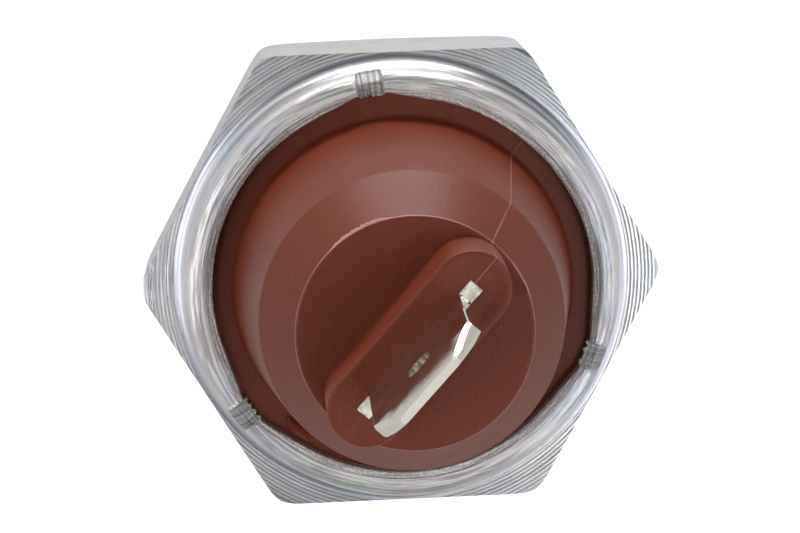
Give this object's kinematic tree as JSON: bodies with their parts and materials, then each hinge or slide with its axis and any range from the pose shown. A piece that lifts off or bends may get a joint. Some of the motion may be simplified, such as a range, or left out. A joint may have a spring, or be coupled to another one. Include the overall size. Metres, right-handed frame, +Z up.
{
  "type": "oil pressure sender",
  "caption": "Threaded hexagonal steel body with a rolled collar holding a tapered brown plastic cap, with one blade terminal on a long raised boss.",
  "frame": {"origin": "on the axis, at the underside of the hexagon where the sender seats on the engine", "axes": "+Z up the axis towards the blade terminal, the thread points down, and two flats of the hexagon face +Y and -Y"},
  "size_m": [0.0278, 0.024, 0.0435],
  "materials": {
    "zinc_steel": "bright zinc plate, fine turning marks, faint iridescence",
    "brown_plastic": "red-brown moulded plastic, soft satin gloss",
    "tinned_brass": "bright tin plate over brass",
    "contact_brass": "plain stamped brass",
    "spring_steel": "drawn spring wire",
    "black_rubber": "matt moulded rubber",
    "amber_film": "amber film, smooth",
    "pale_plastic": "natural moulded plastic"
  },
  "bodies": {
    "sender_body": {"hex_housing": "zinc_steel", "oil_gasket": "black_rubber", "diaphragm": "amber_film", "contact_ring": "contact_brass", "flange_gasket": "black_rubber", "contact_spring": "spring_steel", "spring_seat": "contact_brass", "insulator": "brown_plastic", "blade_terminal": "tinned_brass"},
    "moving_contact": {"plunger": "pale_plastic", "contact_disc": "contact_brass"}
  },
  "joints": [
    {"name": "contact_lift", "type": "slide", "parent": "sender_body", "child": "moving_contact", "axis": [0, 0, 1], "range_m": [0, 0.0006], "stiffness_N_per_m": 1000, "springref_m": -0.001, "deforming": ["contact_spring", "diaphragm"]}
  ]
}
